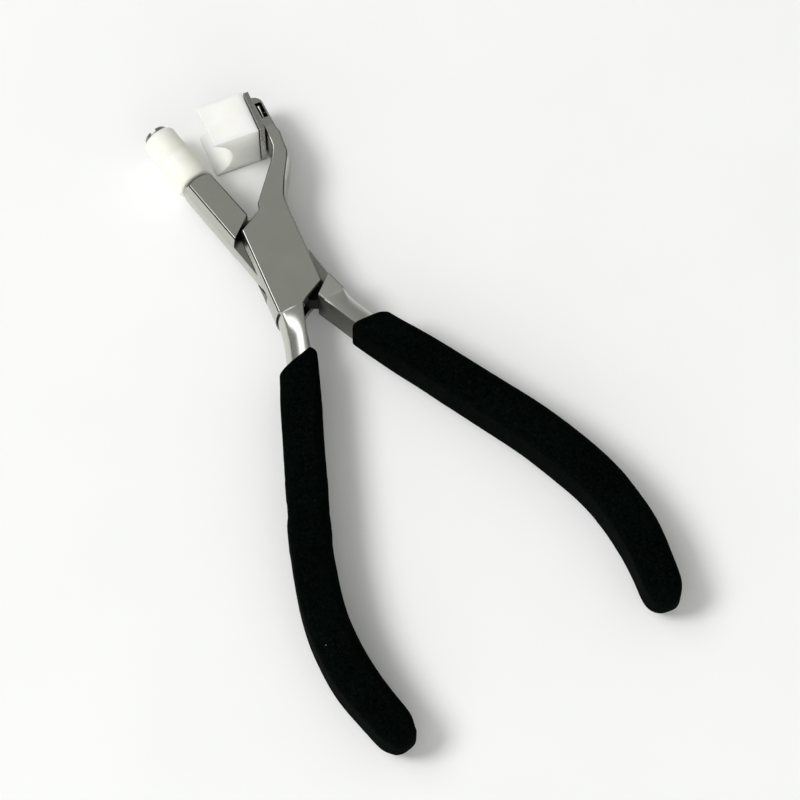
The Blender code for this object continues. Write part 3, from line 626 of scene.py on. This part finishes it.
# %% Turning helper
def turned(rows, start, axis, steps=64):
    """Spins (radius, distance) rows in mm once round an axis that leaves a start point."""
    shape = bmesh.new()
    line = [shape.verts.new((radius * MM, 0, distance * MM)) for radius, distance in rows]
    edges = [shape.edges.new(pair) for pair in zip(line, line[1:])]
    bmesh.ops.spin(shape, geom=line + edges, cent=(0, 0, 0), axis=(0, 0, 1), dvec=(0, 0, 0),
                   angle=math.tau, steps=steps, use_merge=True, use_duplicate=False)
    bmesh.ops.remove_doubles(shape, verts=shape.verts, dist=0.001 * MM)
    bmesh.ops.recalc_face_normals(shape, faces=shape.faces)
    aim = Vector((0, 0, 1)).rotation_difference(Vector(axis)).to_matrix().to_4x4()
    move = Matrix.Translation([value * MM for value in start])
    bmesh.ops.transform(shape, matrix=move @ aim, verts=shape.verts)
    return shape


# %% The nylon roller
BAR_MIDDLE, ROLLER_START, ROLLER_LENGTH = -3.9, 23.5, 12.9
roller_rows = [
    (1.5, 0.22), (2.95, 0.22), (3.25, 0.3), (3.48, 0.5), (3.6, 0.85), (3.6, 2.2), (3.59, 4.6),
    (3.6, 6.9), (3.59, 6.98), (3.54, 7.03), (3.40, 7.04), (3.36, 7.08), (3.36, 7.2), (3.38, 10.1),
    (3.38, 12.3), (3.34, 12.6), (3.22, 12.83), (2.95, 12.9), (1.62, 12.9), (1.5, 12.8), (1.5, 0.22),
]
roller = turned(roller_rows, (BAR_MIDDLE, ROLLER_START, 0), (0, 1, 0), 72)
bmesh.ops.transform(roller, matrix=opened("tongue_side"), verts=roller.verts)
finish_piece("nylon_roller_turned", roller, "tongue_side", roller_nylon,
             ["nylon_roller"], 40)

# %% [markdown]
# A slotted cheese-head screw clamps the roller to the bar. Its head is turned too, with a rounded
# rim, and the slot is sawn across it. A slot could be modelled face by face, but a Boolean with a
# thin cutter leaves the same crisp walls that a saw does. The head is burred where a driver has
# slipped, so two shallower cutters at their own angles open the slot's lips a little.

# %% Cutting helper
def baked(shape, cutters, name):
    """The shape with each cutter taken out of it, as a fresh bmesh."""
    holder = bpy.data.objects.new(name, bpy.data.meshes.new(name))
    shape.to_mesh(holder.data)
    shape.free()
    bpy.context.scene.collection.objects.link(holder)
    tools = []
    for index, cutter in enumerate(cutters):
        tool = bpy.data.objects.new(f"{name}_tool_{index}", bpy.data.meshes.new(name + "_tool"))
        cutter.to_mesh(tool.data)
        cutter.free()
        bpy.context.scene.collection.objects.link(tool)
        cut = holder.modifiers.new(f"cut_{index}", "BOOLEAN")
        cut.operation = "DIFFERENCE"
        cut.object = tool
        cut.solver = "EXACT"
        tools.append(tool)
    bpy.context.view_layer.update()
    graph = bpy.context.evaluated_depsgraph_get()
    result = bpy.data.meshes.new_from_object(holder.evaluated_get(graph))
    fresh = bmesh.new()
    fresh.from_mesh(result)
    for item in tools + [holder]:
        bpy.data.objects.remove(item)
    bmesh.ops.remove_doubles(fresh, verts=fresh.verts, dist=0.002 * MM)
    return fresh


def slab(size, centre, tilt_deg=0):
    """A box cutter, its sizes and centre in mm, tilted about Y."""
    shape = bmesh.new()
    bmesh.ops.create_cube(shape, size=1)
    move = Matrix.Translation([value * MM for value in centre])
    tilt = Matrix.Rotation(math.radians(tilt_deg), 4, "Y")
    grow = Matrix.Diagonal((*[value * MM for value in size], 1))
    bmesh.ops.transform(shape, matrix=move @ tilt @ grow, verts=shape.verts)
    return shape


# %% The roller's screw
head_place = ROLLER_START + ROLLER_LENGTH + 0.25
HEAD_HEIGHT = 1.03
screw_rows = [
    (0.0, -19.4), (1.1, -19.4), (1.25, -19.2), (1.25, 0.0), (2.32, 0.0), (2.42, 0.1), (2.42, 0.74),
    (2.37, 0.87), (2.2, 0.96), (1.7, 1.01), (0.0, HEAD_HEIGHT),
]
# Each cut's depth, width, shift and tilt: the slot itself, then its two burred lips.
SLOT_CUTS = ((0.66, 0.95, 0.0, 74), (0.42, 0.7, -0.12, 83), (0.25, 0.6, 0.1, 63))
screw = turned(screw_rows, (BAR_MIDDLE, head_place, 0), (0, 1, 0), 48)
slot_cuts = [slab((6, 2 * depth, wide), (BAR_MIDDLE + shift, head_place + HEAD_HEIGHT, 0), tilt)
             for depth, wide, shift, tilt in SLOT_CUTS]
screw = baked(screw, slot_cuts, "roller_screw_blank")
round_edges(screw, 0.05 * MM, 2, 40)
bmesh.ops.transform(screw, matrix=opened("tongue_side"), verts=screw.verts)
screw_steel = satin_steel("satin_steel_screw", -HALF_OPEN_DEG, 0.62, 0.3, reach=(0.3, 1.2))
finish_piece("roller_screw_slotted", screw, "tongue_side", screw_steel,
             ["roller_screw"], 40)

# %% [markdown]
# The block is milled nylon with a groove of a wider circle than the roller, so it holds a part in
# a gentle curve. Its outline is drawn once: a spun vertex makes the groove's arc, four more
# vertices close it, one face fills it, and an extrusion gives it length. The rims are then
# rounded with a bevel, more than on metal, because nylon is broken with a file by hand.

# %% The nylon block
FRONT, BACK, HALF_HIGH = -4.0, 5.15, 5.7
BLOCK_START, BLOCK_LENGTH = 25.7, 9.3
GROOVE_AXIS, GROOVE_RADIUS = -5.95, 5.5
SCREW_PLACE, WELL_RADIUS = 31.5, 2.15
lip = math.acos((FRONT - GROOVE_AXIS) / GROOVE_RADIUS)
block = bmesh.new()
first = block.verts.new(((GROOVE_AXIS + GROOVE_RADIUS * math.cos(lip)) * MM, BLOCK_START * MM,
                         -GROOVE_RADIUS * math.sin(lip) * MM))
bmesh.ops.spin(block, geom=[first], cent=(GROOVE_AXIS * MM, BLOCK_START * MM, 0), axis=(0, -1, 0),
               dvec=(0, 0, 0), angle=2 * lip, steps=36, use_merge=False, use_duplicate=False)
ends = sorted((v for v in block.verts if len(v.link_edges) == 1), key=lambda v: v.co.z)
outline = ((FRONT, -HALF_HIGH), (BACK, -HALF_HIGH), (BACK, HALF_HIGH), (FRONT, HALF_HIGH))
corners = [block.verts.new((x * MM, BLOCK_START * MM, z * MM)) for x, z in outline]
chain = [ends[0]] + corners + [ends[1]]
for pair in zip(chain, chain[1:]):
    block.edges.new(pair)
bmesh.ops.contextual_create(block, geom=list(block.edges))
push = bmesh.ops.extrude_face_region(block, geom=list(block.faces))
bmesh.ops.translate(block, vec=(0, BLOCK_LENGTH * MM, 0), verts=only(bmesh.types.BMVert, push["geom"]))
bmesh.ops.recalc_face_normals(block, faces=block.faces)
tips = [edge for edge in block.edges if all(abs(v.co.x - FRONT * MM) < 1e-6 for v in edge.verts)
        and abs(edge.verts[0].co.y - edge.verts[1].co.y) < 1e-6 and edge.calc_length() < 1 * MM]
bevelled(block, tips, 0.9 * MM, 6)
well_rows = [(0, 3.2), (WELL_RADIUS, 3.2), (WELL_RADIUS, 5.6), (1.25, 5.6), (1.25, 10.0), (0, 10.0)]
well = turned(well_rows, (FRONT, SCREW_PLACE, 0), (1, 0, 0), 48)
block = baked(block, [well], "block_blank")


def in_well(spot):
    return math.hypot(spot.y - SCREW_PLACE * MM, spot.z) < (WELL_RADIUS + 0.25) * MM


print("block edges rounded:", round_edges(block, 0.3 * MM, 4, 48, 0.1 * MM, in_well))
bmesh.ops.transform(block, matrix=opened("box_side"), verts=block.verts)
finish_piece("nylon_block_grooved", block, "box_side", block_nylon, ["nylon_block"], 40)

# %% [markdown]
# Small steel pieces: the plate behind the block, the square nut in the jaw's pocket, the sunk
# screw, two locating pins and the pivot pin. The plate, the nut and the pins keep their solids'
# shapes with rounded edges. The sunk screw gets thread on the end that shows in the pocket: a
# zigzag of rows spun round reads as thread at this size, and a true helix would look the same.

# %% Plate, nut and pins
plain_steel = satin_steel("satin_steel_small", HALF_OPEN_DEG, 0.74, 0.26)
nut_steel = satin_steel("satin_steel_nut", HALF_OPEN_DEG, 1.2, 0.16, reach=(0.25, 0.6))
# Node, finish, its edges' radius and the shortest edge that is rounded, in mm.
SMALL_PIECES = (
    ("back_plate", plain_steel, 0.10, 0.4), ("block_nut", nut_steel, 0.55, 0.4),
    ("upper_locating_pin", plain_steel, 0.06, 0.0), ("lower_locating_pin", plain_steel, 0.06, 0.0),
    ("pivot_pin", plain_steel, 0.05, 0.0),
)
for node, steel, radius, shortest in SMALL_PIECES:
    small = merged_copy(node)
    round_edges(small, radius * MM, 4, 40, shortest * MM)
    finish_piece(node + "_finished", small, "box_side", steel, [node])

# %% The sunk screw with its threaded end
SUNK_HEAD = 0.05
THREAD_START, PITCH, TURNS = 5.5, 0.28, 8
thread_rows = [(0, 0.05), (1.5, 0.05), (1.75, 0.1), (1.9, 0.25), (1.9, 1.25), (1.8, 1.3),
               (1.0, 1.3), (1.0, THREAD_START)]
for turn_index in range(TURNS):
    base = THREAD_START + PITCH * turn_index
    thread_rows += [(0.99, base + 0.02), (0.84, base + PITCH / 2), (0.99, base + PITCH - 0.02)]
thread_rows += [(0.8, 7.85), (0, 7.85)]
sunk = turned(thread_rows, (SUNK_HEAD, SCREW_PLACE, 0), (1, 0, 0), 40)
sunk = baked(sunk, [slab((1.3, 0.65, 6), (SUNK_HEAD, SCREW_PLACE, 0))], "sunk_screw_blank")
round_edges(sunk, 0.03 * MM, 1, 60)
bmesh.ops.transform(sunk, matrix=opened("box_side"), verts=sunk.verts)
finish_piece("block_screw_threaded", sunk, "box_side", plain_steel, ["block_screw"])

# %% [markdown]
# The sleeves are the largest thing in view: thick black foam rubber with a flocked, suede-like
# skin. They were pushed over the tangs, so they follow each handle's curve, swell in the palm and
# end in a blunt round. A curve with a bevel object could sweep the section, but then the mouth
# would be cut square, and the real ones slant. So one rounded section is extruded ring by ring
# along the handle: each new ring is moved and turned to its place, and the rings at the mouth
# lean over to the slanted cut.

# %% [markdown]
# The skin of the sleeves is nearly black. It looks soft because short fibres stand on it: they
# catch a little light at the outline, which is what Sheen is for, while a hair system would add
# strands that nobody sees one by one. Two noises clump the fibres, a wider one gives the foam's
# slow unevenness, and a sparse Voronoi leaves a few specks of dust.

# %% Flocked foam
def flocked_foam(name):
    material, tree, shader = new_finish(name)
    place = object_place(tree)
    fibre = noise(tree, place, 0.34 * MM, 4, 0.75)
    clump = noise(tree, place, 0.9 * MM, 4, 0.65)
    patch = noise(tree, place, 9 * MM, 2, 0.5)
    dark = shades(tree, clump, ((0.34, (0.0002, 0.0008, 0.0006)),
                                (0.68, (0.0013, 0.0030, 0.0023))))
    worn = shades(tree, patch, ((0.38, (0.65, 0.65, 0.65)), (0.66, (1.0, 1.0, 1.0))))
    nap = blend_colours(tree, 1.0, dark, worn, "MULTIPLY")
    tips = shades(tree, fibre, ((0.53, (0.0, 0.0, 0.0)), (0.74, (0.0055, 0.0080, 0.0070))))
    fuzz = blend_colours(tree, 1.0, nap, tips, "ADD")
    grid = {"Vector": place, "Scale": 1 / (2.6 * MM), "Randomness": 1.0}
    cells = add_node(tree, "ShaderNodeTexVoronoi", grid)
    speck = ramp(tree, cells.outputs["Distance"], 1.0, 0.0, 0.018, 0.045)
    chosen = add_node(tree, "ShaderNodeSeparateColor", {"Color": cells.outputs["Color"]})
    rare = ramp(tree, chosen.outputs["Red"], 0.0, 1.0, 0.955, 0.96)
    dust = combined(tree, "MULTIPLY", speck, rare)
    dusty = blend_colours(tree, dust, fuzz, (0.28, 0.28, 0.26))
    tree.links.new(dusty, shader.inputs["Base Color"])
    tree.links.new(ramp(tree, clump, 0.86, 1.0), shader.inputs["Roughness"])
    shader.inputs["Specular IOR Level"].default_value = 0.012
    shader.inputs["Sheen Weight"].default_value = 0.005
    shader.inputs["Sheen Roughness"].default_value = 0.3
    shader.inputs["Sheen Tint"].default_value = (0.92, 1.0, 1.0, 1)
    under = bumps(tree, patch, 0.10 * MM)
    under = bumps(tree, clump, 0.05 * MM, under)
    tree.links.new(bumps(tree, fibre, 0.045 * MM, under), shader.inputs["Normal"])
    return material


foam = flocked_foam("black_flocked_foam")
print("sleeve finish:", foam.name)

# %% [markdown]
# No two sleeves went on alike. Both slant at the mouth by the same cut, but the left one's inner
# lip falls back where the tang's flat side ends, and the right one's mouth leans further over.
# Near the mouth, the outer skin of each stands out over its tang. The wall above the tang stays
# as it is, so only what lies further out than half the tang's width is moved.

# %% The sleeves' sizes
SLEEVE_WIDTH, SLEEVE_HEIGHT = 7.7, 10.7
OUTER_RADIUS, INNER_RADIUS = 2.7, 2.3
SLEEVE_LENGTH, END_ROUND, END_SHORT = 81.5, 4.2, 0.15
MOUTH_PLACE, MOUTH_SLANT, MOUTH_REACH = 19.6, math.radians(19), 14
LEFT_LIP, LEFT_LIP_FALL, RIGHT_LEAN = -2.4, 0.3, 0.22
# Shares of the sleeve's length with its size there, and distances from the mouth in mm with how
# far the outer skin stands out, as a share of its depth, for each sleeve.
SWELL = ((0.0, 0.91), (0.15, 0.97), (0.4, 1.0), (0.6, 1.03), (0.78, 1.03), (0.92, 0.96), (1.0, 0.86))
BULGE = {-1: ((0.0, 0.36), (16.0, 0.24), (32.0, 0.08), (48.0, 0.0)),
         1: ((0.0, 0.12), (16.0, 0.30), (32.0, 0.30), (48.0, 0.12), (64.0, 0.0))}


def eased(rows, place):
    """A smooth value between (place, value) rows."""
    for (start, low), (end, high) in zip(rows, rows[1:]):
        if place <= end:
            t = max(0.0, (place - start) / (end - start))
            return low + (high - low) * t * t * (3 - 2 * t)
    return rows[-1][1]


def mouth_distance():
    """How far along the handle's line the slanted mouth crosses it, and how steeply."""
    distance = 0.0
    while True:
        point, way = place_on(handle_line, distance)
        if point.y < -MOUTH_PLACE - math.tan(MOUTH_SLANT) * point.x:
            break
        distance += 0.02
    cut = Vector((math.cos(MOUTH_SLANT), -math.sin(MOUTH_SLANT)))
    return distance, cut.dot(way) / cut.dot(Vector((-way.y, way.x)))


mouth_at, mouth_slope = mouth_distance()
print("mouth at", round(mouth_at, 2), "mm, slope", round(mouth_slope, 3))

# %% A straight sleeve
def straight_sleeve():
    """A sleeve along -Y from its mouth at y = 0, with its outer side at +X, in mm."""
    shape = bmesh.new()
    bmesh.ops.create_grid(shape, x_segments=1, y_segments=1, size=0.5)
    upright = Matrix.Rotation(math.radians(90), 4, "X")
    section = Matrix.Diagonal((SLEEVE_WIDTH, SLEEVE_HEIGHT, 1, 1))
    bmesh.ops.transform(shape, matrix=upright @ section, verts=shape.verts)
    for sign, radius in ((1, OUTER_RADIUS), (-1, INNER_RADIUS)):
        corners = [v for v in shape.verts if abs(v.co.x - sign * SLEEVE_WIDTH / 2) < 0.01
                   and abs(v.co.z) > SLEEVE_HEIGHT / 2 - 0.01]
        bevelled(shape, corners, radius, 8, affect="VERTICES")
    long_edges = [edge for edge in shape.edges if edge.calc_length() > 1.2]
    bmesh.ops.subdivide_edges(shape, edges=long_edges, cuts=3)
    body_end = handle_length - mouth_at - END_SHORT - END_ROUND
    stations = [(body_end * step / 90, 1.0) for step in range(1, 91)]
    for angle in range(7, 88, 8):
        turn_in = math.radians(angle)
        stations.append((body_end + END_ROUND * math.sin(turn_in), math.cos(turn_in) ** 0.85))
    face, here, size = shape.faces[:][0], 0.0, 1.0
    for distance, scale in stations:
        made = bmesh.ops.extrude_face_region(shape, geom=[face])["geom"]
        ring, face = only(bmesh.types.BMVert, made), only(bmesh.types.BMFace, made)[0]
        bmesh.ops.translate(shape, vec=(0, here - distance, 0), verts=ring)
        bmesh.ops.scale(shape, vec=(scale / size, 1, scale / size), verts=ring)
        here, size = distance, scale
    return shape


def open_mouth(shape):
    """Rounds the mouth's rim and sinks a well in it that fits the tang."""
    mouth = max(shape.faces, key=lambda f: f.calc_center_median().y)
    bevelled(shape, list(mouth.edges), 0.55, 4)
    mouth = max((f for f in shape.faces if len(f.verts) > 8), key=lambda f: f.calc_center_median().y)
    for depth in (0.0, 0.25, 6.0):
        made = bmesh.ops.extrude_face_region(shape, geom=[mouth])["geom"]
        mouth = only(bmesh.types.BMFace, made)[0]
        for vertex in only(bmesh.types.BMVert, made):
            reach = tang_reach(math.atan2(vertex.co.z, vertex.co.x), 0.30 if depth == 0.0 else 0.10)
            flat = Vector((vertex.co.x, 0, vertex.co.z)).normalized() * reach
            vertex.co = Vector((flat.x, -depth, flat.z))


def tang_reach(angle, gap):
    """From the section's middle to the tang's surface plus a gap, at an angle round it."""
    flat, bulge, half = -TANG_WIDE / 2 - gap, TANG_WIDE + 2 * gap, TANG_HALF_HIGH + gap
    low, high = 0.0, 8.0
    for _ in range(40):
        middle = (low + high) / 2
        x, z = middle * math.cos(angle), middle * math.sin(angle)
        inside = x > flat and ((x - flat) / bulge) ** 2 + (z / half) ** 2 < 1
        low, high = (middle, high) if inside else (low, middle)
    return low


trial = straight_sleeve()
open_mouth(trial)
print("a straight sleeve has", len(trial.faces), "faces")
trial.free()

# %% Bending the sleeves onto the handles
from mathutils import noise as lumps


def bend_sleeve(shape, side):
    """Swells a straight sleeve, leans its mouth over and bends it onto its handle."""
    for vertex in shape.verts:
        straight, along, above = vertex.co.x, -vertex.co.y, vertex.co.z
        grow = eased(SWELL, (along + mouth_at + SLEEVE_LENGTH - handle_length) / SLEEVE_LENGTH)
        across = straight + eased(BULGE[side], along) * max(0.0, straight - TANG_WIDE / 2)
        if side < 0:
            lean = mouth_slope * max(across, LEFT_LIP) + LEFT_LIP_FALL * max(0.0, LEFT_LIP - across)
        else:
            lean = mouth_slope * straight - RIGHT_LEAN * (across + SLEEVE_WIDTH / 2)
        along += lean * grow * max(0.0, 1 - along / MOUTH_REACH) ** 2
        point, way = place_on(handle_line, mouth_at + along)
        out = point + Vector((-way.y, way.x)) * across * grow
        vertex.co = Vector((side * out.x, out.y, above * grow)) * MM
    bmesh.ops.recalc_face_normals(shape, faces=shape.faces)
    shape.normal_update()
    for vertex in shape.verts:
        slow = lumps.noise(vertex.co / (9 * MM) + Vector((side * 7, 0, 0)))
        quick = lumps.noise(vertex.co / (1.7 * MM) + Vector((0, side * 3, 0)))
        vertex.co += vertex.normal * (0.08 * slow + 0.03 * quick - 0.10) * MM


for node, body, side in (("left_grip", "box_side", -1), ("right_grip", "tongue_side", 1)):
    skin = straight_sleeve()
    open_mouth(skin)
    bend_sleeve(skin, side)
    bmesh.ops.transform(skin, matrix=opened(body), verts=skin.verts)
    finish_piece(node + "_sleeve", skin, body, foam, [node], 50)

# %% [markdown]
# The tool lies on a plain white table, lit softly from the left. A big lamp there gives the wide,
# soft shadows on the right of each handle, and a weak low one lifts the sides that face the
# viewer. Steel would mirror both as round blobs, so it doesn't see them. It shows what is around
# it instead, so the world isn't one flat grey: the room is dim near the horizon, which draws the
# dark lines along the edges, middling overhead, which is what the level faces reflect, and pale
# behind the viewer. One long window high up at the far left, three round panes run together,
# draws the bright streak along the left tang. A picture of a room would do it with less control.

# %% Table
table_shape = bmesh.new()
bmesh.ops.create_circle(table_shape, cap_ends=True, segments=96, radius=1.6)
table_mesh = bpy.data.meshes.new("table")
TABLE_GAP = 0.02 * MM
table_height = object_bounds()[0][2] - TABLE_GAP
bmesh.ops.translate(table_shape, vec=(0, 0, table_height), verts=table_shape.verts)
table_shape.to_mesh(table_mesh)
table_shape.free()
table = bpy.data.objects.new("table", table_mesh)
bpy.context.scene.collection.objects.link(table)
table_paint, tree, shader = new_finish("table_white")
grain = noise(tree, object_place(tree), 30 * MM, 3, 0.5)
tree.links.new(shades(tree, grain, ((0.3, (0.90, 0.905, 0.895)), (0.7, (0.92, 0.925, 0.915)))),
               shader.inputs["Base Color"])
shader.inputs["Roughness"].default_value = 0.85
table_mesh.materials.append(table_paint)
print("table at", round(table_height / MM, 2), "mm")

# %% Lamps and world
LAMP_AWAY = 1.8
LAMP_AIM = Vector((0.0, -0.02, 0.0))


def soft_lamp(name, way, size, watts):
    """A round lamp that far away in a direction, seen by everything but reflections."""
    data = bpy.data.lights.new(name, "AREA")
    data.shape = "DISK"
    data.size = size
    data.energy = watts
    lamp = bpy.data.objects.new(name, data)
    place = way * LAMP_AWAY
    turn = (LAMP_AIM - place).to_track_quat("-Z", "Y").to_matrix().to_4x4()
    lamp.matrix_world = Matrix.Translation(place) @ turn
    lamp.visible_glossy = False
    bpy.context.scene.collection.objects.link(lamp)


KEY_HEIGHT = math.radians(50)
left = Vector((-0.96, 0.278, 0)).normalized()
key_way = left * math.cos(KEY_HEIGHT) + Vector((0, 0, math.sin(KEY_HEIGHT)))
soft_lamp("window_left", key_way, 0.75, 15.8)
soft_lamp("low_front_fill", Vector((-0.30, -0.92, 0.26)).normalized(), 0.9, 3.0)

# Grey of the room by height, from the horizon to overhead, and the window's three directions.
ROOM = ((0.0, (0.10, 0.10, 0.10)), (0.07, (0.13, 0.13, 0.13)), (0.2, (0.27, 0.27, 0.27)),
        (0.65, (0.32, 0.325, 0.315)), (0.88, (0.36, 0.365, 0.35)), (1.0, (0.33, 0.335, 0.32)))
PANES = ((-0.3096, 0.5907, 0.745), (-0.4430, 0.4390, 0.7815), (-0.5700, 0.2780, 0.7732))
BEHIND_VIEWER = (-0.45, -0.85, 0.25)

world = bpy.data.worlds.new("white_room")
bpy.context.scene.world = world
world.use_nodes = True
tree = world.node_tree
sky = tree.nodes["Background"]
aim = add_node(tree, "ShaderNodeTexCoord").outputs["Generated"]
height = add_node(tree, "ShaderNodeSeparateXYZ", {"Vector": aim}).outputs["Z"]
room = shades(tree, height, ROOM)
fill = ramp(tree, against(tree, "DOT_PRODUCT", aim, BEHIND_VIEWER), 0.0, 1.0, 0.40, 0.85)
walls = blend_colours(tree, fill, room, (1.18, 1.18, 1.17))
glows = [ramp(tree, against(tree, "DOT_PRODUCT", aim, way), 0.0, 1.0, 0.968, 0.985) for way in PANES]
window = combined(tree, "MAXIMUM", combined(tree, "MAXIMUM", glows[0], glows[1]), glows[2])
tree.links.new(blend_colours(tree, window, walls, (2.4, 2.4, 2.45)), sky.inputs["Color"])
sky.inputs["Strength"].default_value = 1.0
print("two lamps and the world set")
